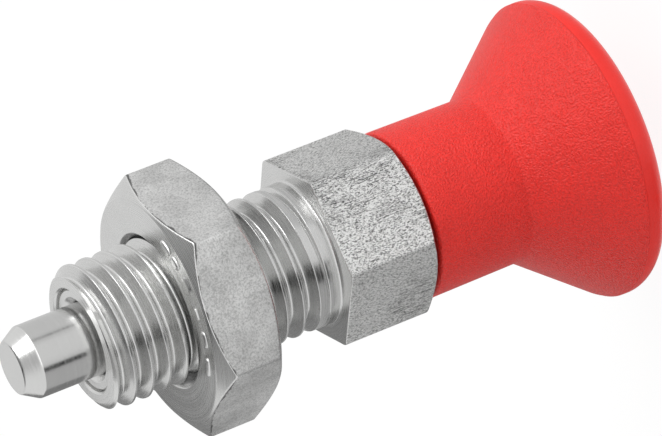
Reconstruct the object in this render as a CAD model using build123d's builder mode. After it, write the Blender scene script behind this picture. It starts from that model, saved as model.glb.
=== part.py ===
"""Indexing plunger: a spring-loaded locking pin in a threaded sleeve, with a lock nut and a pull grip.

The axis is Z. The plunger stands on the flat head of its grip, with the pin pointing up (+Z).
Lengths are in millimetres and angles in degrees.
"""
import os
from math import asin, atan2, cos, hypot, pi, radians, sin, tan

from build123d import *

# --- Driving dimensions -------------------------------------------------------------------------

# Grip: a neck that widens in a straight cone to a round head
grip_head_radius = 12.55
grip_rim_radius = 1.7
grip_flare_z = 9.45
grip_neck_radius = 6.97
grip_neck_draft = 0.5
grip_neck_length = 8.5
grip_neck_edge = 0.35
grip_throat_fillet = 0.6
grip_socket_end_gap = 0.5

# Gap between the end of the grip's neck and the sleeve's hexagon
grip_gap = 0.17

# Hexagon of the sleeve
hexagon_across_flats = 14.0
hexagon_height = 8.3
hexagon_bevel_angle = 27
hexagon_bevel_radius = 6.54
hexagon_corner_trim = 0.05

# Thread M12 x 1.5, drawn as plain walls at its crests and at half its depth
thread_radius = 5.94
thread_pitch = 1.5
thread_length = 20.0
thread_end_chamfer = 0.65
thread_bare_margin = 0.1

# Inside of the sleeve
chamber_radius = 4.25
chamber_mouth_chamfer = 0.15
rear_wall = 2.6
rod_clearance = 0.08

# Lock nut, bevelled on both faces
nut_across_flats = 18.9
nut_height = 5.8
nut_seat_distance = 7.4
nut_bevel_angle = 30
nut_face_radius = 9.25
nut_countersink_radius = 6.45
nut_turn = -17
nut_thread_clearance = 0.02

# Guide bush, pressed into the mouth of the sleeve
bush_length = 5.0
bush_recess = 0.3
bush_bore_chamfer = 0.5
bush_rim_chamfer = 0.2

# Locking pin: nose, collar and rod, turned in one piece
pin_radius = 2.97
pin_clearance = 0.04
pin_projection = 6.0
pin_tip_radius = 2.15
pin_tip_length = 1.4
collar_radius = 4.0
collar_length = 2.0
collar_chamfer = 0.25
rod_radius = 2.0
rod_in_grip = 12.0
rod_end_chamfer = 0.3

# Compression spring, with its ends ground flat
spring_wire_radius = 0.4
spring_outer_radius = 3.85
spring_coils = 9
spring_end_clearance = 0.02

# --- Heights and radii that follow ----------------------------------------------------------------

neck_end_z = grip_flare_z + grip_neck_length
hexagon_rear_z = neck_end_z + grip_gap
seat_z = hexagon_rear_z + hexagon_height
sleeve_end_z = seat_z + thread_length
chamber_floor_z = hexagon_rear_z + rear_wall

nut_rear_z = seat_z + nut_seat_distance
nut_front_z = nut_rear_z + nut_height
thread_depth = thread_pitch * 0.6495 / 2
thread_mid_radius = thread_radius - thread_depth

bush_front_z = sleeve_end_z - bush_recess
bush_rear_z = bush_front_z - bush_length
pin_tip_z = sleeve_end_z + pin_projection
collar_rear_z = bush_rear_z - collar_length
rod_end_z = neck_end_z - rod_in_grip

# --- Grip -----------------------------------------------------------------------------------------

# The cone leaves the neck and runs tangent into the arc of the rim
rim_centre_x = grip_head_radius - grip_rim_radius
rim_centre_z = grip_rim_radius
throat_to_rim_x = rim_centre_x - grip_neck_radius
throat_to_rim_z = grip_flare_z - rim_centre_z
throat_to_rim = hypot(throat_to_rim_x, throat_to_rim_z)
cone_angle = atan2(throat_to_rim_x, throat_to_rim_z) + asin(grip_rim_radius / throat_to_rim)
rim_start_x = rim_centre_x + grip_rim_radius * cos(cone_angle)
rim_start_z = rim_centre_z + grip_rim_radius * sin(cone_angle)
rim_middle_x = rim_centre_x + grip_rim_radius * cos(cone_angle / 2 - pi / 4)
rim_middle_z = rim_centre_z + grip_rim_radius * sin(cone_angle / 2 - pi / 4)
neck_end_radius = grip_neck_radius + grip_neck_length * tan(radians(grip_neck_draft))

with BuildPart() as grip:
    with BuildSketch(Plane.XZ):
        with BuildLine():
            Polyline((rim_centre_x, 0), (0, 0), (0, neck_end_z), (neck_end_radius, neck_end_z))
            Line((neck_end_radius, neck_end_z), (grip_neck_radius, grip_flare_z))
            Line((grip_neck_radius, grip_flare_z), (rim_start_x, rim_start_z))
            ThreePointArc((rim_start_x, rim_start_z), (rim_middle_x, rim_middle_z), (rim_centre_x, 0))
        make_face()
        throat = vertices().sort_by_distance((grip_neck_radius, grip_flare_z))[0]
        fillet(throat, radius=grip_throat_fillet)
        neck_corner = vertices().sort_by_distance((neck_end_radius, neck_end_z))[0]
        fillet(neck_corner, radius=grip_neck_edge)
    revolve(axis=Axis.Z)
    # Socket for the pin's rod
    with BuildSketch(Plane.XY.offset(rod_end_z - grip_socket_end_gap)):
        Circle(rod_radius)
    extrude(amount=rod_in_grip + grip_socket_end_gap, mode=Mode.SUBTRACT)

grip.part.label = "grip"

# --- Threaded sleeve ------------------------------------------------------------------------------

hexagon_corner_radius = hexagon_across_flats / 2 / cos(radians(30)) - hexagon_corner_trim
hexagon_bevel_length = (hexagon_corner_radius - hexagon_bevel_radius) * tan(radians(hexagon_bevel_angle))

with BuildPart() as threaded_sleeve:
    with BuildSketch(Plane.XY.offset(hexagon_rear_z)):
        RegularPolygon(hexagon_across_flats / 2, 6, major_radius=False)
    extrude(amount=hexagon_height)
    # The bar's corners are trimmed, and turned down towards the grip
    with BuildSketch(Plane.XZ):
        with BuildLine():
            Polyline(
                (0, hexagon_rear_z),
                (hexagon_bevel_radius, hexagon_rear_z),
                (hexagon_corner_radius, hexagon_rear_z + hexagon_bevel_length),
                (hexagon_corner_radius, seat_z),
                (0, seat_z),
                close=True,
            )
        make_face()
    revolve(axis=Axis.Z, mode=Mode.INTERSECT)
    # Threaded stem: at its crests where it is bare, at mid-depth where the nut's thread meshes with it
    with BuildSketch(Plane.XZ):
        with BuildLine():
            Polyline(
                (0, seat_z),
                (thread_radius, seat_z),
                (thread_radius, nut_rear_z - thread_bare_margin),
                (thread_mid_radius, nut_rear_z - thread_bare_margin),
                (thread_mid_radius, nut_front_z + thread_bare_margin),
                (thread_radius, nut_front_z + thread_bare_margin),
                (thread_radius, sleeve_end_z - thread_end_chamfer),
                (thread_radius - thread_end_chamfer, sleeve_end_z),
                (0, sleeve_end_z),
                close=True,
            )
        make_face()
    revolve(axis=Axis.Z)
    # Chamber for the spring and collar, and the rod's guide hole through the rear wall
    with BuildSketch(Plane.XY.offset(chamber_floor_z)):
        Circle(chamber_radius)
    extrude(amount=sleeve_end_z - chamber_floor_z, mode=Mode.SUBTRACT)
    with BuildSketch(Plane.XY.offset(hexagon_rear_z)):
        Circle(rod_radius + rod_clearance)
    extrude(amount=rear_wall, mode=Mode.SUBTRACT)
    mouth = edges().filter_by(GeomType.CIRCLE).group_by(Axis.Z)[-1].sort_by(SortBy.RADIUS)[0]
    chamfer(mouth, length=chamber_mouth_chamfer)

threaded_sleeve.part.label = "threaded_sleeve"

# --- Lock nut -------------------------------------------------------------------------------------

nut_corner_radius = nut_across_flats / 2 / cos(radians(30))
nut_blank_radius = nut_corner_radius + thread_pitch
nut_blank_bevel = (nut_blank_radius - nut_face_radius) * tan(radians(nut_bevel_angle))
nut_bore_radius = thread_mid_radius + nut_thread_clearance

with BuildPart() as lock_nut:
    with BuildSketch(Plane.XY.offset(nut_rear_z)):
        RegularPolygon(nut_across_flats / 2, 6, major_radius=False, rotation=nut_turn)
    extrude(amount=nut_height)
    with BuildSketch(Plane.XZ):
        with BuildLine():
            Polyline(
                (0, nut_rear_z),
                (nut_face_radius, nut_rear_z),
                (nut_blank_radius, nut_rear_z + nut_blank_bevel),
                (nut_blank_radius, nut_front_z - nut_blank_bevel),
                (nut_face_radius, nut_front_z),
                (0, nut_front_z),
                close=True,
            )
        make_face()
    revolve(axis=Axis.Z, mode=Mode.INTERSECT)
    with BuildSketch(Plane.XY.offset(nut_rear_z)):
        Circle(nut_bore_radius)
    extrude(amount=nut_height, mode=Mode.SUBTRACT)
    bore_rims = edges().filter_by(GeomType.CIRCLE).sort_by(SortBy.RADIUS)[:2]
    chamfer(bore_rims, length=nut_countersink_radius - nut_bore_radius)

lock_nut.part.label = "lock_nut"

# --- Guide bush -----------------------------------------------------------------------------------

with BuildPart() as guide_bush:
    with BuildSketch(Plane.XY.offset(bush_rear_z)):
        Circle(chamber_radius)
        Circle(pin_radius + pin_clearance, mode=Mode.SUBTRACT)
    extrude(amount=bush_length)
    front_rims = edges().group_by(Axis.Z)[-1].sort_by(SortBy.RADIUS)
    chamfer(front_rims[0], length=bush_bore_chamfer)
    outer_rims = edges().filter_by(GeomType.CIRCLE).group_by(SortBy.RADIUS)[-1]
    chamfer(outer_rims, length=bush_rim_chamfer)

guide_bush.part.label = "guide_bush"

# --- Locking pin ----------------------------------------------------------------------------------

with BuildPart() as locking_pin:
    with BuildSketch(Plane.XZ):
        with BuildLine():
            Polyline(
                (0, rod_end_z),
                (rod_radius - rod_end_chamfer, rod_end_z),
                (rod_radius, rod_end_z + rod_end_chamfer),
                (rod_radius, collar_rear_z),
                (collar_radius - collar_chamfer, collar_rear_z),
                (collar_radius, collar_rear_z + collar_chamfer),
                (collar_radius, bush_rear_z - collar_chamfer),
                (collar_radius - collar_chamfer, bush_rear_z),
                (pin_radius, bush_rear_z),
                (pin_radius, pin_tip_z - pin_tip_length),
                (pin_tip_radius, pin_tip_z),
                (0, pin_tip_z),
                close=True,
            )
        make_face()
    revolve(axis=Axis.Z)

locking_pin.part.label = "locking_pin"

# --- Spring ---------------------------------------------------------------------------------------

spring_rear_z = chamber_floor_z + spring_end_clearance
spring_length = collar_rear_z - spring_end_clearance - spring_rear_z
spring_mean_radius = spring_outer_radius - spring_wire_radius
spring_pitch = spring_length / spring_coils

with BuildPart() as spring:
    with BuildLine():
        coil = Helix(
            pitch=spring_pitch,
            height=spring_length,
            radius=spring_mean_radius,
            center=(0, 0, spring_rear_z),
        )
    with BuildSketch(Plane(origin=coil @ 0, z_dir=coil % 0)):
        Circle(spring_wire_radius)
    sweep(is_frenet=True)
    # Both ends ground flat
    with BuildSketch(Plane.XY.offset(spring_rear_z)):
        Circle(spring_outer_radius + spring_wire_radius)
    extrude(amount=spring_length, mode=Mode.INTERSECT)

spring.part.label = "spring"

# --- STEP files -----------------------------------------------------------------------------------

os.makedirs("parts", exist_ok=True)
for piece in (grip, threaded_sleeve, lock_nut, guide_bush, locking_pin, spring):
    export_step(piece.part, f"parts/{piece.part.label}.step")
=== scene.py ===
"""An indexing plunger standing on the head of its red grip, pin upward, axis on Z.

Sizes are in millimetres and turned to metres where a mesh, a pattern or a light is made. A section is
a line of (radius, height) corners that is carried round the axis."""

import math

import bmesh
import bpy
import numpy as np
from mathutils import Matrix, Vector


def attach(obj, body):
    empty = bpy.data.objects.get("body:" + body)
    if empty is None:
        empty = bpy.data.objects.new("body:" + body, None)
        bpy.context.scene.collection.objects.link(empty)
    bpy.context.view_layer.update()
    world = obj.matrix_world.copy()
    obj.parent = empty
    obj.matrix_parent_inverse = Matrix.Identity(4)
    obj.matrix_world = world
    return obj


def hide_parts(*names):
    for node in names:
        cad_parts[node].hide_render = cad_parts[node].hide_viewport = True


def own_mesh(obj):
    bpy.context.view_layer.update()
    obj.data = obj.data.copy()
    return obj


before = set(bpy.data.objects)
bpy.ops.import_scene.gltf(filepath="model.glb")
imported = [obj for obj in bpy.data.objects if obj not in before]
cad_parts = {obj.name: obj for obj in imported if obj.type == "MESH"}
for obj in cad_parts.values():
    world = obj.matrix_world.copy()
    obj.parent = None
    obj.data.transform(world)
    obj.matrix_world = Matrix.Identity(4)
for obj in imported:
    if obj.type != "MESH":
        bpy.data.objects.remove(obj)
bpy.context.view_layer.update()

MM = 0.001

# --- Sizes, as the solids have them. Heights count up from the standing face of the grip ------------

SEAT_Z = 26.42
SLEEVE_END_Z = SEAT_Z + 20.0
HEXAGON_REAR_Z = SEAT_Z - 8.3
HEXAGON_FLATS = 14.0
HEXAGON_BEVEL_RADIUS = 6.54
HEXAGON_BEVEL = math.tan(math.radians(27))
HEXAGON_CORNER_ROUND = 0.6

THREAD_RADIUS = 5.94
THREAD_ROOT_RADIUS = 5.02
THREAD_PITCH = 1.5
THREAD_MOUTH = 7 / 8
THREAD_PHASE = 0.39
THREAD_CHAMFER = 0.65
STEM_PLAIN_Z = SEAT_Z + 0.48
STEM_FILLET = 0.35
RUNOUT_START_Z = SEAT_Z + 0.78
RUNOUT_END_Z = SEAT_Z + 2.48

CHAMBER_RADIUS = 4.25
CHAMBER_MOUTH_BEVEL = 0.15
CHAMBER_FLOOR_Z = HEXAGON_REAR_Z + 2.6

NUT_REAR_Z = SEAT_Z + 7.4
NUT_FRONT_Z = NUT_REAR_Z + 5.8
NUT_FLATS = 18.9
NUT_TURN = -17.0
NUT_FACE_RADIUS = 9.25
NUT_BEVEL = math.tan(math.radians(30))
NUT_CORNER_ROUND = 0.35
NUT_BORE_RADIUS = 5.473
NUT_COUNTERSINK_RADIUS = 6.45
NUT_SINK = NUT_COUNTERSINK_RADIUS - NUT_BORE_RADIUS
THREAD_IN_NUT_RADIUS = NUT_BORE_RADIUS - 0.02

MARK_RADIUS = 8.0
MARK_HEIGHT = 0.16
MARK_FLAT = 0.6
MARK_FOOT = 0.02
MARK_ROOT = 0.06
# Azimuth in degrees, length and width of each raised mark
NUT_MARKS = [
    (-65, 1.5, 0.8),
    (-76, 1.3, 0.9),
    (-90.5, 1.7, 1.4),
    (-106.8, 1.0, 0.4),
    (-122, 1.5, 1.0),
    (-140, 1.8, 0.7),
]

PULL = 6.0
PIN_RADIUS = 2.97
PIN_TIP_RADIUS = 2.15
PIN_TIP_Z = SLEEVE_END_Z + PULL
PIN_SHOULDER_Z = PIN_TIP_Z - 1.4

BUSH_BORE_RADIUS = PIN_RADIUS + 0.04
BUSH_FRONT_Z = SLEEVE_END_Z - 0.3
BUSH_REAR_Z = BUSH_FRONT_Z - 5.0
BUSH_EDGE_BEVEL = 0.2
BUSH_BORE_BEVEL = 0.5

COLLAR_RADIUS = 4.0
COLLAR_BEVEL = 0.25
COLLAR_REAR_Z = BUSH_REAR_Z - 2.0

GRIP_HEAD_RADIUS = 12.55
GRIP_RIM_RADIUS = 1.7
GRIP_NECK_RADIUS = 6.97
GRIP_NECK_END_RADIUS = 7.044
GRIP_NECK_END_Z = HEXAGON_REAR_Z - 0.17
GRIP_THROAT_Z = GRIP_NECK_END_Z - 8.5
PARTING_Z = 2.15
PARTING_WIDTH = 0.16
PARTING_HEIGHT = 0.05

ROD_RADIUS = 2.0
ROD_HOLE_RADIUS = ROD_RADIUS + 0.08
ROD_BEVEL = 0.3
ROD_END_Z = GRIP_NECK_END_Z - 12.0
SOCKET_END_Z = ROD_END_Z - 0.5

SPRING_TURNS = 9.0
SPRING_WIRE_RADIUS = 0.4
SPRING_MEAN_RADIUS = 3.45
SPRING_END_RISE = 0.7
SPRING_REAR_Z = CHAMBER_FLOOR_Z + 0.02
SPRING_FRONT_Z = COLLAR_REAR_Z - 0.02

# --- The view: distance, direction and roll of a long lens, with its aim point; angles in degrees ---

AIM = (1.774, -0.229, 23.18)
VIEW_AZIMUTH = -97.34
VIEW_ELEVATION = 22.5
VIEW_ROLL = 111.45
VIEW_DISTANCE = 388.71
LENS = 267.73
SENSOR = 36.0

# --- The studio -------------------------------------------------------------------------------------

# The room's light on the object, the share of plain white in the floor, and that white's strength
AMBIENT = 0.62
FLOOR_GLOW = 0.85
FLOOR_WHITE = 1.045
# The floor lies just below the grip when it is pulled
FLOOR_Z = -PULL - 0.05
FLOOR_RADIUS = 2000
# Azimuths in degrees and distances from the axis of the cards that lie on the floor
DARKER_SIDE = (83, 222)
PALE_SIDE = (-58, 83)
FRONT_SIDE = (222, 302)
CARD_INNER = 14
CARD_HEXAGON_END = 88
CARD_THREAD_END = 124
CARD_OUTER = 600
CARD_Z = FLOOR_Z + 0.3
CARD_LINE_Z = FLOOR_Z + 0.35
# The middle of the object, where the softbox points
MIDDLE_Z = 26


# --- Surfaces ---------------------------------------------------------------------------------------

def section_of(corners, columns):
    """One section for each column and its cuts, from (radius, height, cut) for each corner. A radius or a
    height is one number, or an array with a number for each column."""
    radius = np.stack([np.broadcast_to(corner[0], columns) for corner in corners], axis=1)
    height = np.stack([np.broadcast_to(corner[1], columns) for corner in corners], axis=1)
    return np.stack([radius, height], axis=-1).astype(float), [corner[2] for corner in corners]


def eased(corners, cuts, steps=4):
    """Section lines with softened corners. Each corner P with a cut c becomes the parabola
    (1-t)^2 A + 2t(1-t) P + t^2 B, where A and B lie c away from P on its two sides, or just under half
    way to the next corner. A point just before A and just after B holds the flat beside it."""
    before = np.roll(corners, 1, axis=1) - corners
    after = np.roll(corners, -1, axis=1) - corners
    t = np.linspace(0, 1, steps)[None, :, None]
    rows = []
    for k, cut in enumerate(cuts):
        corner = corners[:, k, None, :]
        if cut == 0:
            rows.append(corner)
            continue
        back = np.linalg.norm(before[:, k], axis=1)[:, None, None]
        forth = np.linalg.norm(after[:, k], axis=1)[:, None, None]
        shorter = np.minimum(back, forth)
        reach = np.minimum(cut, 0.45 * shorter)
        to_back = before[:, k, None, :] / back
        to_forth = after[:, k, None, :] / forth
        start = corner + to_back * reach
        end = corner + to_forth * reach
        curve = (1 - t) ** 2 * start + 2 * t * (1 - t) * corner + t ** 2 * end
        hold = np.minimum(0.6 * reach, 0.04 * shorter)
        rows += [start + to_back * hold, curve, end + to_forth * hold]
    return np.concatenate(rows, axis=1)


def columns_to_grid(angles, section, loop=False, advance=0):
    """Points and quads round the axis: column i stands at angles[i], row j at its radius and height.
    The last column meets the first, advance rows further on. With loop, the last row meets the first."""
    radius = section[..., 0]
    height = section[..., 1]
    turn = angles[:, None]
    points = np.stack([radius * np.cos(turn), radius * np.sin(turn), height + 0 * turn], axis=-1)
    columns, rows = points.shape[:2]
    column = np.arange(columns)[:, None]
    row = np.arange(rows if loop else rows - 1)[None, :]
    beside = (column + 1) % columns
    shift = np.where(column == columns - 1, advance, 0)
    quads = np.stack([
        column * rows + row % rows,
        beside * rows + (row + shift) % rows,
        beside * rows + (row + shift + 1) % rows,
        column * rows + (row + 1) % rows,
    ], axis=-1)
    kept = np.broadcast_to(loop | (row + shift + 1 < rows), quads.shape[:2])
    return points.reshape(-1, 3), quads[kept]


def six_sided_columns(first_corner, round_angle, between=10):
    """Columns for a six-sided piece: close together over the round of each corner, even along each flat."""
    near = np.array([0.0, 0.5, 1.0, 1.7]) * round_angle
    half = np.concatenate([near, np.linspace(near[-1], math.pi / 6, between + 1)[1:]])
    side = np.concatenate([half, math.pi / 3 - half[-2:0:-1]])
    corners = np.arange(6)[:, None] * math.pi / 3 + first_corner
    return np.sort((corners + side[None, :]).ravel() % (2 * math.pi))


def six_sided_radius(angles, first_corner, flats, corner_round):
    """Radius of a hexagon with round corners: half the flats over the cosine of the angle from the flat's
    middle, and near a corner d cos(a) + sqrt(c^2 - d^2 sin^2(a)) for an arc of radius c centred d out."""
    from_corner = np.abs((angles - first_corner + math.pi / 6) % (math.pi / 3) - math.pi / 6)
    flat = flats / 2 / np.cos(math.pi / 6 - from_corner)
    centre = (flats / 2 - corner_round) / math.cos(math.pi / 6)
    under_root = corner_round ** 2 - (centre * np.sin(from_corner)) ** 2
    arc = centre * np.cos(from_corner) + np.sqrt(np.maximum(under_root, 0))
    return np.where(from_corner < corner_round_angle(flats, corner_round), arc, flat)


def corner_round_angle(flats, corner_round):
    """Angle from a corner to where its arc runs into the flat."""
    centre = (flats / 2 - corner_round) / math.cos(math.pi / 6)
    return math.atan2(corner_round * 0.5, centre + corner_round * math.cos(math.pi / 6))


def piece(name, grids, body, finishes, nodes=(), finish_of=None, crease=38):
    """A closed piece from one or more grids in millimetres, welded where they meet, faces outward.
    finish_of picks a finish for each face from its middle's radius and from its tilt, which is one for a
    face that looks straight up and nought for an upright one."""
    points = []
    quads = []
    first = 0
    for grid_points, grid_quads in grids:
        points.append(grid_points * MM)
        quads.append(grid_quads + first)
        first += len(grid_points)
    mesh = bpy.data.meshes.new(name)
    mesh.from_pydata(np.concatenate(points).tolist(), [], np.concatenate(quads).tolist())
    work = bmesh.new()
    work.from_mesh(mesh)
    bmesh.ops.remove_doubles(work, verts=work.verts, dist=1e-8)
    bmesh.ops.recalc_face_normals(work, faces=work.faces)
    work.to_mesh(mesh)
    work.free()
    faces = len(mesh.polygons)
    mesh.polygons.foreach_set("use_smooth", np.ones(faces, bool))
    mesh.set_sharp_from_angle(angle=math.radians(crease))
    for material in finishes:
        mesh.materials.append(material)
    if finish_of:
        middle = np.zeros(faces * 3, np.float32)
        normal = np.zeros(faces * 3, np.float32)
        mesh.polygons.foreach_get("center", middle)
        mesh.polygons.foreach_get("normal", normal)
        middle = middle.reshape(-1, 3) / MM
        chosen = finish_of(np.hypot(middle[:, 0], middle[:, 1]), normal.reshape(-1, 3)[:, 2])
        mesh.polygons.foreach_set("material_index", chosen.astype(np.int32))
    made = bpy.data.objects.new(name, mesh)
    bpy.context.scene.collection.objects.link(made)
    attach(made, body)
    if nodes:
        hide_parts(*nodes)
    return made


def round_piece(name, corners, columns, body, finishes, nodes, loop=False, steps=4):
    """A piece with the same section all round."""
    angles = np.arange(columns) * 2 * math.pi / columns
    section = eased(*section_of(corners, columns), steps=steps)
    return piece(name, [columns_to_grid(angles, section, loop)], body, finishes, nodes)


# --- The sleeve and its thread ----------------------------------------------------------------------

def thread_grid(angles):
    """The threaded outside, one row pattern a turn: a 60 degree groove centred at
    phase + pitch * (angle / full turn + turns + 1/2), shrinking to nothing at the run-out. Rows past the
    end plane fold inward over it, and the crests stay inside the end chamfer and the nut's bore."""
    first = math.floor((STEM_PLAIN_Z - THREAD_PHASE) / THREAD_PITCH) - 2
    last = math.ceil((SLEEVE_END_Z - THREAD_PHASE) / THREAD_PITCH) + 2
    turns = np.arange(first, last)
    centre = THREAD_PHASE + THREAD_PITCH * (angles[:, None] / (2 * math.pi) + turns[None, :] + 0.5)
    share = np.clip((centre - RUNOUT_START_Z) / (RUNOUT_END_Z - RUNOUT_START_Z), 0, 1)
    share = share * share * (3 - 2 * share)
    least_share = 0.06
    width = np.maximum(share, least_share) * THREAD_PITCH
    groove_depth = THREAD_RADIUS - THREAD_ROOT_RADIUS
    mouth = width * THREAD_MOUTH / 2
    depth = share * groove_depth
    floor = mouth - width / THREAD_PITCH * groove_depth * math.tan(math.pi / 6)
    ridge = 0 * centre + THREAD_PITCH / 2
    offset = np.stack([-ridge, -mouth, -floor, floor, mouth, ridge], axis=-1)
    sunk = np.stack([0 * depth, 0 * depth, depth, depth, 0 * depth, 0 * depth], axis=-1)
    corners = np.stack([THREAD_RADIUS - sunk, centre[..., None] + offset], axis=-1)
    lines = eased(corners.reshape(-1, 6, 2), [0, 0.05, 0.11, 0.11, 0.05, 0])[:, :-1]
    rows_a_turn = lines.shape[1]
    section = lines.reshape(len(angles), -1, 2)
    radius = section[..., 0].copy()
    height = section[..., 1].copy()

    beyond = height > SLEEVE_END_Z
    height = np.clip(height, STEM_PLAIN_Z, SLEEVE_END_Z)
    from_nut = np.maximum(NUT_REAR_Z + NUT_SINK - height, height - NUT_FRONT_Z + NUT_SINK)
    radius = np.minimum(radius, THREAD_IN_NUT_RADIUS + np.maximum(from_nut, 0))
    end_radius = THREAD_RADIUS - THREAD_CHAMFER
    radius = np.minimum(radius, end_radius + SLEEVE_END_Z - height)

    at = np.argmax(beyond, axis=1)
    here = np.arange(len(angles))
    below = section[here, at - 1]
    above = section[here, at]
    part = (SLEEVE_END_Z - below[:, 1]) / (above[:, 1] - below[:, 1])
    cut = np.minimum(below[:, 0] + part * (above[:, 0] - below[:, 0]), end_radius)
    folded = np.minimum.accumulate(np.where(beyond, radius, np.inf), axis=1)
    radius = np.where(beyond, np.minimum(folded, cut[:, None]), radius)
    return columns_to_grid(angles, np.stack([radius, height], axis=-1), advance=rows_a_turn)


def sleeve(finishes):
    """Bar end with a hexagon, a threaded stem and a chamber for the spring. The flats keep the bar's skin."""
    angles = six_sided_columns(0.0, corner_round_angle(HEXAGON_FLATS, HEXAGON_CORNER_ROUND))
    side = six_sided_radius(angles, 0.0, HEXAGON_FLATS, HEXAGON_CORNER_ROUND)
    bevel_z = HEXAGON_REAR_Z + (side - HEXAGON_BEVEL_RADIUS) * HEXAGON_BEVEL
    section = eased(*section_of([
        (THREAD_RADIUS, STEM_PLAIN_Z, 0),
        (THREAD_RADIUS, SEAT_Z, STEM_FILLET),
        (side, SEAT_Z, 0.09),
        (side, bevel_z, 0.08),
        (HEXAGON_BEVEL_RADIUS, HEXAGON_REAR_Z, 0.06),
        (ROD_HOLE_RADIUS, HEXAGON_REAR_Z, 0.12),
        (ROD_HOLE_RADIUS, CHAMBER_FLOOR_Z, 0),
        (CHAMBER_RADIUS, CHAMBER_FLOOR_Z, 0),
        (CHAMBER_RADIUS, SLEEVE_END_Z - CHAMBER_MOUTH_BEVEL, 0.03),
        (CHAMBER_RADIUS + CHAMBER_MOUTH_BEVEL, SLEEVE_END_Z, 0.03),
        (THREAD_ROOT_RADIUS, SLEEVE_END_Z, 0),
    ], len(angles)))

    def on_the_flats(radius, tilt):
        return (radius > HEXAGON_BEVEL_RADIUS) & (np.abs(tilt) < 0.25)

    grids = [thread_grid(angles), columns_to_grid(angles, section)]
    nodes = ["threaded_sleeve"]
    return piece("sleeve_turned", grids, "sleeve", finishes, nodes, on_the_flats)


# --- The lock nut -----------------------------------------------------------------------------------

def lock_nut(finishes):
    """Thin hexagon nut: bore, countersinks, and a 30 degree cone that takes the corners off both faces."""
    first = math.radians(NUT_TURN) % (math.pi / 3)
    angles = six_sided_columns(first, corner_round_angle(NUT_FLATS, NUT_CORNER_ROUND))
    side = six_sided_radius(angles, first, NUT_FLATS, NUT_CORNER_ROUND)
    drop = (side - NUT_FACE_RADIUS) * NUT_BEVEL
    section = eased(*section_of([
        (NUT_BORE_RADIUS, NUT_REAR_Z + NUT_SINK, 0.05),
        (NUT_COUNTERSINK_RADIUS, NUT_REAR_Z, 0.06),
        (NUT_FACE_RADIUS, NUT_REAR_Z, 0.07),
        (side, NUT_REAR_Z + drop, 0.12),
        (side, NUT_FRONT_Z - drop, 0.12),
        (NUT_FACE_RADIUS, NUT_FRONT_Z, 0.07),
        (NUT_COUNTERSINK_RADIUS, NUT_FRONT_Z, 0.06),
        (NUT_BORE_RADIUS, NUT_FRONT_Z - NUT_SINK, 0.05),
    ], len(angles)))

    def on_the_flats(radius, tilt):
        return (radius > NUT_COUNTERSINK_RADIUS) & (np.abs(tilt) < 0.3)

    grids = [columns_to_grid(angles, section, loop=True)]
    return piece("nut_turned", grids, "nut", finishes, ["lock_nut"], on_the_flats)


def mark_grid(middle, length, width):
    """One raised mark, a low mound over a rounded oblong. A square grid u, v from -1 to 1 is drawn in to a
    disc: with m the larger of |u| and |v|, each point is brought to m times its direction. The disc is parted
    along the mark by the length it has over its width, and bent round the axis. The mound is full height
    up to m = flat, and 1 - ((m - flat) / (1 - flat))^2 of it beyond. Walls go down into the nut."""
    u = np.linspace(-1, 1, 15)[:, None]
    v = np.linspace(-1, 1, 11)[None, :]
    larger = np.maximum(np.abs(u), np.abs(v))
    reach = np.maximum(np.hypot(u, v), 1e-9)
    across = u * larger / reach * width / 2
    along = v * larger / reach * width / 2
    parted = np.sign(v) * np.minimum(np.abs(v) * 2, 1) * (length - width) / 2
    turn = np.radians(middle) + (along + parted) / MARK_RADIUS
    radius = MARK_RADIUS + across
    mound = 1 - ((larger - MARK_FLAT) / (1 - MARK_FLAT)).clip(0) ** 2
    height = NUT_FRONT_Z - MARK_FOOT + mound * (MARK_HEIGHT + MARK_FOOT)
    points = np.stack([radius * np.cos(turn), radius * np.sin(turn), height], axis=-1)
    below = points.copy()
    below[..., 2] = NUT_FRONT_Z - MARK_ROOT

    rows, columns = points.shape[:2]
    row = np.arange(rows - 1)[:, None]
    first = row * columns + np.arange(columns - 1)[None, :]
    top = np.stack([first, first + columns, first + columns + 1, first + 1], axis=-1).reshape(-1, 4)
    rim = np.concatenate([
        np.arange(columns),
        np.arange(1, rows) * columns + columns - 1,
        (rows - 1) * columns + np.arange(columns - 2, -1, -1),
        np.arange(rows - 2, 0, -1) * columns,
    ])
    beside = np.roll(rim, -1)
    count = rows * columns
    walls = np.stack([rim, beside, beside + count, rim + count], axis=-1)
    both = np.concatenate([points.reshape(-1, 3), below.reshape(-1, 3)])
    return both, np.concatenate([top, top[:, ::-1] + count, walls])


def nut_marks(finishes):
    """Raised marks on the nut's front face, plain dashes and dots."""
    return piece("nut_marks", [mark_grid(*mark) for mark in NUT_MARKS], "nut", finishes)


# --- Round pieces -----------------------------------------------------------------------------------

def guide_bush(finishes):
    """Short bush with a wide bevel round its bore."""
    edge_radius = CHAMBER_RADIUS - BUSH_EDGE_BEVEL
    corners = [
        (BUSH_BORE_RADIUS, BUSH_REAR_Z, 0.05),
        (edge_radius, BUSH_REAR_Z, 0.04),
        (CHAMBER_RADIUS, BUSH_REAR_Z + BUSH_EDGE_BEVEL, 0.04),
        (CHAMBER_RADIUS, BUSH_FRONT_Z - BUSH_EDGE_BEVEL, 0.04),
        (edge_radius, BUSH_FRONT_Z, 0.04),
        (BUSH_BORE_RADIUS + BUSH_BORE_BEVEL, BUSH_FRONT_Z, 0.05),
        (BUSH_BORE_RADIUS, BUSH_FRONT_Z - BUSH_BORE_BEVEL, 0.05),
    ]
    nodes = ["guide_bush"]
    return round_piece("bush_turned", corners, 96, "sleeve", finishes, nodes, loop=True)


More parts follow.
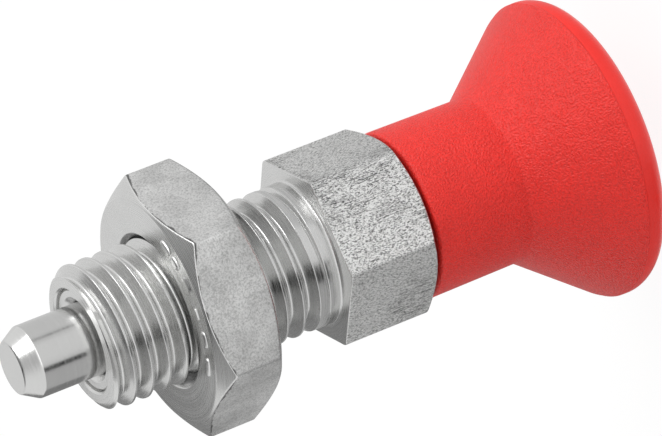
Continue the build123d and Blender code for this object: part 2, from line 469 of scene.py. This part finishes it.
def locking_pin(finishes):
    """Nose, collar and rod turned in one piece."""
    corners = [
        (0, ROD_END_Z, 0),
        (ROD_RADIUS - ROD_BEVEL, ROD_END_Z, 0.05),
        (ROD_RADIUS, ROD_END_Z + ROD_BEVEL, 0.05),
        (ROD_RADIUS, COLLAR_REAR_Z, 0),
        (COLLAR_RADIUS - COLLAR_BEVEL, COLLAR_REAR_Z, 0.05),
        (COLLAR_RADIUS, COLLAR_REAR_Z + COLLAR_BEVEL, 0.05),
        (COLLAR_RADIUS, BUSH_REAR_Z - COLLAR_BEVEL, 0.05),
        (COLLAR_RADIUS - COLLAR_BEVEL, BUSH_REAR_Z, 0.05),
        (PIN_RADIUS, BUSH_REAR_Z, 0),
        (PIN_RADIUS, PIN_SHOULDER_Z, 0.1),
        (PIN_TIP_RADIUS, PIN_TIP_Z, 0.1),
        (0, PIN_TIP_Z, 0),
    ]
    return round_piece("pin_ground", corners, 128, "plunger", finishes, ["locking_pin"])


def grip(finishes):
    """Neck, cone and round head. The rim is an arc, and the cone leaves it along its tangent. The moulds met
    on the arc, where a ridge of triangular section stands: height (1 - |s| / half width) at arc length s
    from it."""
    centre = GRIP_HEAD_RADIUS - GRIP_RIM_RADIUS
    across = centre - GRIP_NECK_RADIUS
    along = GRIP_THROAT_Z - GRIP_RIM_RADIUS
    lean = math.atan2(across, along) + math.asin(GRIP_RIM_RADIUS / math.hypot(across, along))
    parting = math.asin(PARTING_Z / GRIP_RIM_RADIUS - 1)
    half_width = PARTING_WIDTH / 2 / GRIP_RIM_RADIUS
    arc = np.linspace(-math.pi / 2, lean, 28)
    arc = arc[np.abs(arc - parting) > 1.4 * half_width]
    arc = np.sort(np.concatenate([arc, parting + half_width * np.linspace(-1, 1, 5)]))
    ridge = PARTING_HEIGHT * np.clip(1 - np.abs(arc - parting) / half_width, 0, 1)
    rim_radius = centre + (GRIP_RIM_RADIUS + ridge) * np.cos(arc)
    rim_height = GRIP_RIM_RADIUS + (GRIP_RIM_RADIUS + ridge) * np.sin(arc)
    corners = [
        (0, 0, 0),
        (centre * 0.5, 0, 0),
        *np.stack([rim_radius, rim_height, 0 * arc], axis=1),
        (GRIP_NECK_RADIUS, GRIP_THROAT_Z, 0.25),
        (GRIP_NECK_END_RADIUS, GRIP_NECK_END_Z, 0.35),
        (ROD_RADIUS, GRIP_NECK_END_Z, 0.1),
        (ROD_RADIUS, SOCKET_END_Z, 0),
        (0, SOCKET_END_Z, 0),
    ]
    return round_piece("grip_moulded", corners, 160, "plunger", finishes, ["grip"], steps=6)


def spring(finishes):
    """Wire carried along a helix, its ring of points square to it. With t the share of all turns and s the
    share past the closed end turn, the height is low + end rises + (s - sin(2 pi s) / (4 pi)) * open length.
    The end turns lie nearly flat and are ground off at the end planes."""
    steps_a_turn = 48
    around = 14
    t = np.linspace(0, 1, int(SPRING_TURNS * steps_a_turn) + 1)
    closed = 1.0 / SPRING_TURNS
    s = np.clip((t - closed) / (1 - 2 * closed), 0, 1)
    length = SPRING_FRONT_Z - SPRING_REAR_Z
    low = SPRING_REAR_Z + 0.3 * SPRING_WIRE_RADIUS
    end_rises = SPRING_END_RISE * (np.clip(t / closed, 0, 1) + np.clip((t - 1 + closed) / closed, 0, 1))
    open_length = length - 0.6 * SPRING_WIRE_RADIUS - 2 * SPRING_END_RISE
    height = low + end_rises + (s - np.sin(2 * math.pi * s) / (4 * math.pi)) * open_length
    turn = t * SPRING_TURNS * 2 * math.pi
    outward = np.stack([np.cos(turn), np.sin(turn), 0 * turn], axis=1)
    line = SPRING_MEAN_RADIUS * outward + height[:, None] * np.array([0, 0, 1])
    along = np.gradient(line, axis=0)
    along /= np.linalg.norm(along, axis=1)[:, None]
    upward = np.cross(along, outward)
    ring = (np.arange(around) * 2 * math.pi / around)[None, :, None]
    from_line = np.cos(ring) * outward[:, None] + np.sin(ring) * upward[:, None]
    points = line[:, None] + SPRING_WIRE_RADIUS * from_line
    first_pole = np.broadcast_to(line[:1, None], (1, around, 3))
    last_pole = np.broadcast_to(line[-1:, None], (1, around, 3))
    points = np.concatenate([first_pole, points, last_pole])
    points[..., 2] = np.clip(points[..., 2], SPRING_REAR_Z, SPRING_FRONT_Z)

    row = np.arange(len(points) - 1)[:, None] * around
    column = np.arange(around)[None, :]
    beside = (column + 1) % around
    quads = np.stack([row + column, row + around + column, row + around + beside, row + beside], axis=-1)
    grids = [(points.reshape(-1, 3), quads.reshape(-1, 4))]
    made = piece("spring_wound", grids, "coil", finishes, ["spring"])
    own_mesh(made)
    return made


# --- Nodes ------------------------------------------------------------------------------------------

def linear(colour):
    """An sRGB hex colour as linear red, green, blue and one for alpha."""
    code = np.array([int(colour[i:i + 2], 16) for i in (1, 3, 5)]) / 255
    value = np.where(code <= 0.04045, code / 12.92, ((code + 0.055) / 1.055) ** 2.4)
    return (*value.tolist(), 1.0)


def node(tree, kind, settings=None, inputs=None):
    """Adds a node: settings are its own choices, inputs are values or other nodes' outputs, by socket."""
    made = tree.nodes.new(kind)
    for name, value in (settings or {}).items():
        setattr(made, name, value)
    for socket, value in (inputs or {}).items():
        if isinstance(value, bpy.types.NodeSocket):
            tree.links.new(value, made.inputs[socket])
        else:
            made.inputs[socket].default_value = value
    return made


def finish(name, colour, metallic, roughness):
    """A material with its plain values on the shader, ready for the nodes of its finish."""
    material = bpy.data.materials.new(name)
    material.use_nodes = True
    shader = material.node_tree.nodes["Principled BSDF"]
    shader.inputs["Base Color"].default_value = linear(colour)
    shader.inputs["Metallic"].default_value = metallic
    shader.inputs["Roughness"].default_value = roughness
    return material, material.node_tree, shader


def feed(tree, shader, sources):
    """Links each output to the shader's socket of that name."""
    for socket, source in sources.items():
        tree.links.new(source, shader.inputs[socket])


def per_metre(millimetres):
    """Noise scale for features of that size."""
    return 1 / (millimetres * MM)


def shaded(tree, colour, shade):
    """The colour times a shade that varies over the surface."""
    base = node(tree, "ShaderNodeVectorMath", {"operation": "SCALE"}, {0: linear(colour)[:3], "Scale": shade})
    return base.outputs["Vector"]


def round_place(tree, place):
    """Distance from the axis and height of each point, as on a lathe."""
    flat = node(tree, "ShaderNodeVectorMath", {"operation": "MULTIPLY"}, {0: place, 1: (1, 1, 0)})
    radius = node(tree, "ShaderNodeVectorMath", {"operation": "LENGTH"}, {0: flat.outputs["Vector"]})
    height = node(tree, "ShaderNodeSeparateXYZ", inputs={"Vector": place})
    return radius.outputs["Value"], height.outputs["Z"]


def streaked(tree, place, size, stretch, low, high, darkest):
    """Dark specks in a light skin: noise drawn out along the axis, from darkest at low to one at high."""
    drawn_out = node(tree, "ShaderNodeVectorMath", {"operation": "MULTIPLY"}, {
        0: place, 1: (1, 1, 1 / stretch)})
    noise = node(tree, "ShaderNodeTexNoise", inputs={
        "Vector": drawn_out.outputs["Vector"], "Scale": per_metre(size), "Detail": 5.0, "Roughness": 0.75})
    skin = node(tree, "ShaderNodeMapRange", {"interpolation_type": "SMOOTHSTEP"}, {
        "Value": noise.outputs["Fac"], "From Min": low, "From Max": high, "To Min": darkest, "To Max": 1.0})
    return skin.outputs["Result"]


# --- Finishes ---------------------------------------------------------------------------------------

def lathed(name, colour, roughness, ring, depth, shade=0.1, oily=0.0, clean=0.001):
    """Stainless bar cut on a lathe: every mark is a ring round the axis, so noise is read at (radius,
    height) alone. Rings are drawn a few times coarser than the tool's feed, or they wouldn't show. From
    an outer radius inward to an inner one the colour is darkened: painted shade in the corners round a bore."""
    material, tree, shader = finish(name, colour, 1.0, roughness)
    place = node(tree, "ShaderNodeTexCoord").outputs["Object"]
    radius, height = round_place(tree, place)
    rings_at = node(tree, "ShaderNodeCombineXYZ", inputs={"X": radius, "Y": height})
    rings = node(tree, "ShaderNodeTexNoise", {"noise_dimensions": "2D"}, {
        "Vector": rings_at.outputs["Vector"], "Scale": per_metre(ring), "Detail": 3.0, "Roughness": 0.6})
    cloud = node(tree, "ShaderNodeTexNoise", inputs={
        "Vector": place, "Scale": per_metre(1.6), "Detail": 4.0, "Roughness": 0.65})
    tone = node(tree, "ShaderNodeMath", {"operation": "MULTIPLY_ADD"}, {
        0: cloud.outputs["Fac"], 1: 0.5, 2: rings.outputs["Fac"]})
    grey = node(tree, "ShaderNodeMapRange", inputs={
        "Value": tone.outputs["Value"], "From Min": 0.5, "From Max": 1.0,
        "To Min": 1.0 - shade, "To Max": 1.0})
    # Painted shade: from the outer radius inward the colour falls to 0.15 of itself, standing in for the
    # shadow in a bore's corners
    oil = node(tree, "ShaderNodeMapRange", {"interpolation_type": "SMOOTHSTEP"}, {
        "Value": radius, "From Min": oily * MM, "From Max": clean * MM, "To Min": 0.15, "To Max": 1.0})
    clear = node(tree, "ShaderNodeMath", {"operation": "MULTIPLY"}, {
        0: grey.outputs["Result"], 1: oil.outputs["Result"]})
    rough = node(tree, "ShaderNodeMapRange", inputs={
        "Value": rings.outputs["Fac"], "From Min": 0.3, "From Max": 0.7,
        "To Min": roughness * 0.75, "To Max": roughness * 1.3})
    bump = node(tree, "ShaderNodeBump", inputs={
        "Strength": 1.0, "Distance": depth * MM, "Height": rings.outputs["Fac"]})
    feed(tree, shader, {
        "Base Color": shaded(tree, colour, clear.outputs["Value"]),
        "Roughness": rough.outputs["Result"],
        "Normal": bump.outputs["Normal"],
    })
    return material


def turned_steel():
    """The sleeve's thread, stem and ends, turned: bright, with fine rings."""
    return lathed("steel_turned", "#D6D6D5", roughness=0.24, ring=0.16, depth=0.006)


def ground_steel():
    """The pin, ground after turning: its rings are almost gone, so it mirrors the room in soft bands."""
    return lathed("steel_ground", "#D0D0CF", roughness=0.2, ring=0.3, depth=0.002, shade=0.05)


def bush_steel():
    """The guide bush, bored and left as cut: the deepest rings on the object."""
    return lathed("steel_bush_turned", "#D6D6D5", roughness=0.2, ring=0.24, depth=0.02, shade=0.12)


def faced_steel():
    """The nut's faces, turned fine, darkened round the bore with painted shade."""
    return lathed("steel_nut_turned", "#D6D6D5", roughness=0.25, ring=0.1, depth=0.0008, oily=5.9, clean=6.4)


def drawn_bar():
    """Cold-drawn hexagon bar, pickled after drawing: a dull light skin with small dark pits, and patches of
    die lines and scratches along the bar, which is the axis. Pits and lines are coarser than the real ones,
    as fine as they still show."""
    colour = "#F0F0EF"
    material, tree, shader = finish("steel_drawn_bar", colour, 1.0, 0.42)
    place = node(tree, "ShaderNodeTexCoord").outputs["Object"]
    pits = streaked(tree, place, size=0.075, stretch=2.6, low=0.39, high=0.53, darkest=0.08)
    lines = streaked(tree, place, size=0.08, stretch=18.0, low=0.4, high=0.51, darkest=0.25)
    patches = node(tree, "ShaderNodeTexNoise", inputs={
        "Vector": place, "Scale": per_metre(5.0), "Detail": 3.0})
    patchy = node(tree, "ShaderNodeMapRange", {"interpolation_type": "SMOOTHSTEP"}, {
        "Value": patches.outputs["Fac"], "From Min": 0.48, "From Max": 0.6})
    scored = node(tree, "ShaderNodeMix", inputs={0: patchy.outputs["Result"], 2: 1.0, 3: lines})
    both = node(tree, "ShaderNodeMath", {"operation": "MULTIPLY"}, {0: pits, 1: scored.outputs[0]})
    skin = both.outputs["Value"]
    rough = node(tree, "ShaderNodeMapRange", inputs={
        "Value": skin, "From Min": 0.3, "From Max": 1.0, "To Min": 0.6, "To Max": 0.38})
    bump = node(tree, "ShaderNodeBump", inputs={"Strength": 1.0, "Distance": 0.01 * MM, "Height": skin})
    feed(tree, shader, {
        "Base Color": shaded(tree, colour, skin),
        "Roughness": rough.outputs["Result"],
        "Normal": bump.outputs["Normal"],
    })
    return material


def tumbled_flats():
    """Nut bar, tumbled after cutting: a soft grey skin, cloudy over a few millimetres, sandy close to. The
    cone's tool turned a burr over at the edge of each flat: a dark line of uneven width, below the edge
    z = face - tan(30) (radius - face radius)."""
    colour = "#ECECEB"
    material, tree, shader = finish("steel_tumbled", colour, 1.0, 0.36)
    place = node(tree, "ShaderNodeTexCoord").outputs["Object"]
    radius, height = round_place(tree, place)
    clouds = node(tree, "ShaderNodeTexNoise", inputs={
        "Vector": place, "Scale": per_metre(3.2), "Detail": 7.0, "Roughness": 0.65, "Distortion": 0.2})
    cloudy = node(tree, "ShaderNodeMapRange", inputs={
        "Value": clouds.outputs["Fac"], "From Min": 0.36, "From Max": 0.62, "To Min": 0.74, "To Max": 1.0})
    sand = streaked(tree, place, size=0.16, stretch=1.0, low=0.34, high=0.6, darkest=0.6)
    both = node(tree, "ShaderNodeMath", {"operation": "MULTIPLY"}, {0: cloudy.outputs["Result"], 1: sand})
    edge_up = node(tree, "ShaderNodeMath", {"operation": "MULTIPLY_ADD"}, {
        0: radius, 1: NUT_BEVEL, 2: height})
    burr_width = node(tree, "ShaderNodeTexNoise", inputs={
        "Vector": place, "Scale": per_metre(2.0), "Detail": 4.0, "Roughness": 0.65})
    shifted = node(tree, "ShaderNodeMath", {"operation": "MULTIPLY_ADD"}, {
        0: burr_width.outputs["Fac"], 1: 1.0 * MM, 2: edge_up.outputs["Value"]})
    edge = (NUT_FRONT_Z + NUT_BEVEL * NUT_FACE_RADIUS) * MM
    burr = node(tree, "ShaderNodeMapRange", {"interpolation_type": "SMOOTHSTEP"}, {
        "Value": shifted.outputs["Value"], "From Min": edge + 0.32 * MM, "From Max": edge + 0.42 * MM,
        "To Min": 1.0, "To Max": 0.25})
    skin = node(tree, "ShaderNodeMath", {"operation": "MULTIPLY"}, {
        0: both.outputs["Value"], 1: burr.outputs["Result"]})
    rough = node(tree, "ShaderNodeMapRange", inputs={
        "Value": both.outputs["Value"], "From Min": 0.5, "From Max": 1.0, "To Min": 0.48, "To Max": 0.3})
    bump = node(tree, "ShaderNodeBump", inputs={
        "Strength": 1.0, "Distance": 0.008 * MM, "Height": both.outputs["Value"]})
    feed(tree, shader, {
        "Base Color": shaded(tree, colour, skin.outputs["Value"]),
        "Roughness": rough.outputs["Result"],
        "Normal": bump.outputs["Normal"],
    })
    return material


def drawn_wire():
    """Spring steel wire, drawn and wound: smooth, a little darker than the bar, unevenly dull."""
    material, tree, shader = finish("steel_spring_wire", "#A9A7A4", 1.0, 0.3)
    place = node(tree, "ShaderNodeTexCoord").outputs["Object"]
    skin = node(tree, "ShaderNodeTexNoise", inputs={"Vector": place, "Scale": per_metre(0.5), "Detail": 4.0})
    rough = node(tree, "ShaderNodeMapRange", inputs={
        "Value": skin.outputs["Fac"], "From Min": 0.3, "From Max": 0.7, "To Min": 0.22, "To Max": 0.4})
    bump = node(tree, "ShaderNodeBump", inputs={
        "Strength": 1.0, "Distance": 0.004 * MM, "Height": skin.outputs["Fac"]})
    feed(tree, shader, {"Roughness": rough.outputs["Result"], "Normal": bump.outputs["Normal"]})
    return material


def moulded_red():
    """Glass-filled polyamide in a spark-eroded mould: a matt pebbled grain, drawn a little coarser than the
    mould's so that it shows. It stops at the parting line, below which the rim is smoother."""
    colour = "#EC2D25"
    material, tree, shader = finish("polyamide_red", colour, 0.0, 0.5)
    shader.inputs["Specular IOR Level"].default_value = 0.36
    place = node(tree, "ShaderNodeTexCoord").outputs["Object"]
    height = node(tree, "ShaderNodeSeparateXYZ", inputs={"Vector": place})
    grained = node(tree, "ShaderNodeMapRange", {"interpolation_type": "SMOOTHSTEP"}, {
        "Value": height.outputs["Z"], "From Min": (PARTING_Z - 0.1) * MM, "From Max": (PARTING_Z + 0.1) * MM,
        "To Min": 0.15, "To Max": 1.0})
    grain = node(tree, "ShaderNodeTexNoise", inputs={
        "Vector": place, "Scale": per_metre(0.16), "Detail": 1.0, "Roughness": 0.5})
    pebbles = node(tree, "ShaderNodeMath", {"operation": "MULTIPLY"}, {
        0: grain.outputs["Fac"], 1: grained.outputs["Result"]})
    fibre = node(tree, "ShaderNodeTexNoise", inputs={
        "Vector": place, "Scale": per_metre(3.0), "Detail": 4.0, "Roughness": 0.6})
    shade = node(tree, "ShaderNodeMapRange", inputs={
        "Value": fibre.outputs["Fac"], "From Min": 0.3, "From Max": 0.7, "To Min": 0.95, "To Max": 1.03})
    # Painted shade: the colour darkens in the grain's hollows, standing in for their self-shadowing, and less
    # so below the parting line
    pits = node(tree, "ShaderNodeMapRange", inputs={
        "Value": grain.outputs["Fac"], "From Min": 0.35, "From Max": 0.62, "To Min": -0.15, "To Max": 0.03})
    deep = node(tree, "ShaderNodeMath", {"operation": "MULTIPLY_ADD"}, {
        0: pits.outputs["Result"], 1: grained.outputs["Result"], 2: 1.0})
    tone = node(tree, "ShaderNodeMath", {"operation": "MULTIPLY"}, {
        0: shade.outputs["Result"], 1: deep.outputs["Value"]})
    rough = node(tree, "ShaderNodeMapRange", inputs={
        "Value": grained.outputs["Result"], "From Min": 0.0, "From Max": 1.0, "To Min": 0.34, "To Max": 0.38})
    bump = node(tree, "ShaderNodeBump", inputs={
        "Strength": 1.0, "Distance": 0.14 * MM, "Height": pebbles.outputs["Value"]})
    feed(tree, shader, {
        "Base Color": shaded(tree, colour, tone.outputs["Value"]),
        "Roughness": rough.outputs["Result"],
        "Normal": bump.outputs["Normal"],
    })
    return material


nut_faces = faced_steel()
sleeve([turned_steel(), drawn_bar()])
lock_nut([nut_faces, tumbled_flats()])
nut_marks([nut_faces])
guide_bush([bush_steel()])
locking_pin([ground_steel()])
spring([drawn_wire()])
grip([moulded_red()])


# --- View and studio --------------------------------------------------------------------------------

def direction(azimuth, elevation=0.0):
    """Unit vector at an azimuth and an elevation in degrees."""
    azimuth = math.radians(azimuth)
    elevation = math.radians(elevation)
    reach = math.cos(elevation)
    return np.array([reach * math.cos(azimuth), reach * math.sin(azimuth), math.sin(elevation)])


def place_camera():
    """A long lens on a sphere round the aim point, rolled about its own line of sight."""
    roll = math.radians(VIEW_ROLL)
    outward = Vector(direction(VIEW_AZIMUTH, VIEW_ELEVATION))
    sideways = Vector(direction(VIEW_AZIMUTH + 90))
    upright = outward.cross(sideways)
    right = sideways * math.cos(roll) - upright * math.sin(roll)
    up = sideways * math.sin(roll) + upright * math.cos(roll)
    data = bpy.data.cameras.new("view")
    data.lens = LENS
    data.sensor_width = SENSOR
    data.clip_start = 0.01
    data.clip_end = 10.0
    camera = bpy.data.objects.new("view", data)
    bpy.context.scene.collection.objects.link(camera)
    place = (Vector(AIM) + outward * VIEW_DISTANCE) * MM
    turn = Matrix((right, up, outward)).transposed()
    camera.matrix_world = Matrix.Translation(place) @ turn.to_4x4()
    bpy.context.scene.camera = camera


def seen_rays(tree):
    """One for rays that show the background: the camera's, and those that metal and glass send on."""
    path = node(tree, "ShaderNodeLightPath")
    glossy = node(tree, "ShaderNodeMath", {"operation": "MAXIMUM"}, {
        0: path.outputs["Is Camera Ray"], 1: path.outputs["Is Glossy Ray"]})
    seen = node(tree, "ShaderNodeMath", {"operation": "MAXIMUM"}, {
        0: glossy.outputs["Value"], 1: path.outputs["Is Transmission Ray"]})
    return seen.outputs["Value"]


def white_surround():
    """A white room. What it gives as light is less than what it shows as background."""
    world = bpy.data.worlds.new("studio")
    world.use_nodes = True
    tree = world.node_tree
    background = tree.nodes["Background"]
    background.inputs["Color"].default_value = (1, 1, 1, 1)
    strength = node(tree, "ShaderNodeMapRange", inputs={
        "Value": seen_rays(tree), "To Min": AMBIENT, "To Max": 1.0})
    tree.links.new(strength.outputs["Result"], background.inputs["Strength"])
    bpy.context.scene.world = world


def bare_material(name):
    """A material with nothing but its output."""
    material = bpy.data.materials.new(name)
    material.use_nodes = True
    tree = material.node_tree
    tree.nodes.remove(tree.nodes["Principled BSDF"])
    return material, tree, tree.nodes["Material Output"].inputs["Surface"]


def staged(name, points, quads, material):
    """A flat piece of the studio, from points in millimetres."""
    mesh = bpy.data.meshes.new(name)
    mesh.from_pydata((points * MM).tolist(), [], quads.tolist())
    mesh.materials.append(material)
    made = bpy.data.objects.new(name, mesh)
    bpy.context.scene.collection.objects.link(made)
    return made


def ring_sector(start, end, inner, outer, height):
    """A level sector of a ring round the axis, between two azimuths in degrees, faces upward."""
    steps = max(2, int(abs(end - start) / 4) + 1)
    turn = np.radians(np.linspace(start, end, steps))
    reach = np.array([inner, outer])[:, None]
    points = np.stack([reach * np.cos(turn), reach * np.sin(turn), np.full((2, steps), height)], axis=-1)
    along = np.arange(steps - 1)
    quads = np.stack([along, along + steps, along + steps + 1, along + 1], axis=-1)
    return points.reshape(-1, 3), quads


def panel(azimuth, corners):
    """A flat panel from its corners: distance out along the azimuth, distance across it, height."""
    axes = np.array([direction(azimuth), direction(azimuth + 90), (0, 0, 1)])
    return np.array(corners) @ axes, np.array([[0, 1, 2, 3]])


def upright(azimuth, distance, start, end, low, high):
    """A standing panel square to that azimuth, from start to end across and from low to high."""
    corners = [(distance, start, low), (distance, end, low), (distance, end, high), (distance, start, high)]
    return panel(azimuth, corners)


def level(azimuth, near, far, start, end, height):
    """A level panel along that azimuth from near to far, and from start to end across."""
    corners = [(near, start, height), (far, start, height), (far, end, height), (near, end, height)]
    return panel(azimuth, corners)


def pale_floor():
    """White paper that keeps the object's soft shadow."""
    material, tree, surface = bare_material("paper_floor")
    paper = node(tree, "ShaderNodeBsdfDiffuse", inputs={"Color": (1, 1, 1, 1)})
    glow = node(tree, "ShaderNodeEmission", inputs={"Color": (1, 1, 1, 1), "Strength": FLOOR_WHITE})
    share = node(tree, "ShaderNodeMath", {"operation": "MULTIPLY"}, {0: seen_rays(tree), 1: FLOOR_GLOW})
    mix = node(tree, "ShaderNodeMixShader", inputs={
        0: share.outputs["Value"], 1: paper.outputs["BSDF"], 2: glow.outputs["Emission"]})
    tree.links.new(mix.outputs["Shader"], surface)
    staged("floor", *ring_sector(0, 360, 0, FLOOR_RADIUS, FLOOR_Z), material)


def reflection_card(name, shape, grey, strength=1.0):
    """A card that only reflections see. It gives the metal its darker side, its dark lines and its lights."""
    material, tree, surface = bare_material(name)
    glow = node(tree, "ShaderNodeEmission", inputs={"Color": linear(grey), "Strength": strength})
    tree.links.new(glow.outputs["Emission"], surface)
    card = staged(name, *shape, material)
    card.visible_camera = False
    card.visible_diffuse = False
    card.visible_transmission = False
    card.visible_volume_scatter = False
    card.visible_shadow = False


def floor_cards():
    """Cards on the floor round the object, which its walls mirror: the hexagon and the stem mirror the near
    ones, the thread the middle of them, and the pin the far ones."""
    near = (CARD_INNER, CARD_HEXAGON_END, CARD_Z)
    far = (CARD_HEXAGON_END, CARD_OUTER, CARD_Z)
    reflection_card("card_side", ring_sector(*DARKER_SIDE, *far), "#C4C4C4")
    reflection_card("card_side_near", ring_sector(*DARKER_SIDE, *near), "#A2A2A2")
    reflection_card("card_pale", ring_sector(*PALE_SIDE, *far), "#E4E4E4")
    reflection_card("card_pale_near", ring_sector(*PALE_SIDE, *near), "#C6C6C6")
    reflection_card("card_front", ring_sector(*FRONT_SIDE, CARD_INNER, CARD_OUTER, CARD_Z), "#F2F2F2")
    near_line = (CARD_INNER, CARD_THREAD_END, CARD_LINE_Z)
    far_line = (CARD_THREAD_END, CARD_OUTER, CARD_LINE_Z)
    reflection_card("card_line", ring_sector(215, 229, *far_line), "#363636")
    reflection_card("card_line_near", ring_sector(212, 240, *near_line), "#0C0C0C")
    reflection_card("card_thin_line", ring_sector(-46, -38, *far_line), "#A0A0A0")


def hung_cards():
    """Cards overhead, which the thread's flanks mirror, and standing ones, which the turned faces mirror."""
    # A grey room's ceiling with a darker middle and a dark line beside it, along the line of sight
    reflection_card("card_overhead", ring_sector(0, 360, 0, 170, 200), "#A4A4A4")
    reflection_card("card_overhead_grey", level(VIEW_AZIMUTH, -120, 120, -28, 45, 198.5), "#8E8E8E")
    reflection_card("card_overhead_line", level(VIEW_AZIMUTH, -120, 120, -50, -28, 198), "#0C0C0C")
    # Light for the sleeve's end and the bush beside the pin
    reflection_card("card_near", upright(-75, 26, -30, 30, 52.5, 62), "#FFFFFF", 1.9)
    # Shade for one side of the nut's and the hexagon's faces
    reflection_card("card_back", upright(82.7, 25, 0, 60, 27, 53.5), "#8A8A8A")
    # Keeps the softbox out of the stem's root
    reflection_card("card_stem", upright(-36, 12, -12, 12, 28.5, 32), "#949494")
    # Takes the upward faces a little below white
    reflection_card("card_far", upright(82.7, 400, -300, 300, FLOOR_Z, 500), "#F0F0F0")


def soft_light(name, azimuth, elevation, distance, size, power):
    """A square softbox aimed at the middle of the object: distance and size in metres, power in watts."""
    outward = Vector(direction(azimuth, elevation))
    data = bpy.data.lights.new(name, "AREA")
    data.size = size
    data.energy = power
    light = bpy.data.objects.new(name, data)
    bpy.context.scene.collection.objects.link(light)
    place = Vector((0, 0, MIDDLE_Z * MM)) + outward * distance
    light.matrix_world = Matrix.Translation(place) @ outward.to_track_quat("Z", "Y").to_matrix().to_4x4()


place_camera()
white_surround()
pale_floor()
floor_cards()
hung_cards()
soft_light("softbox", azimuth=-36, elevation=30, distance=0.6, size=0.45, power=2.2)

scene = bpy.context.scene
scene.view_settings.view_transform = "Standard"
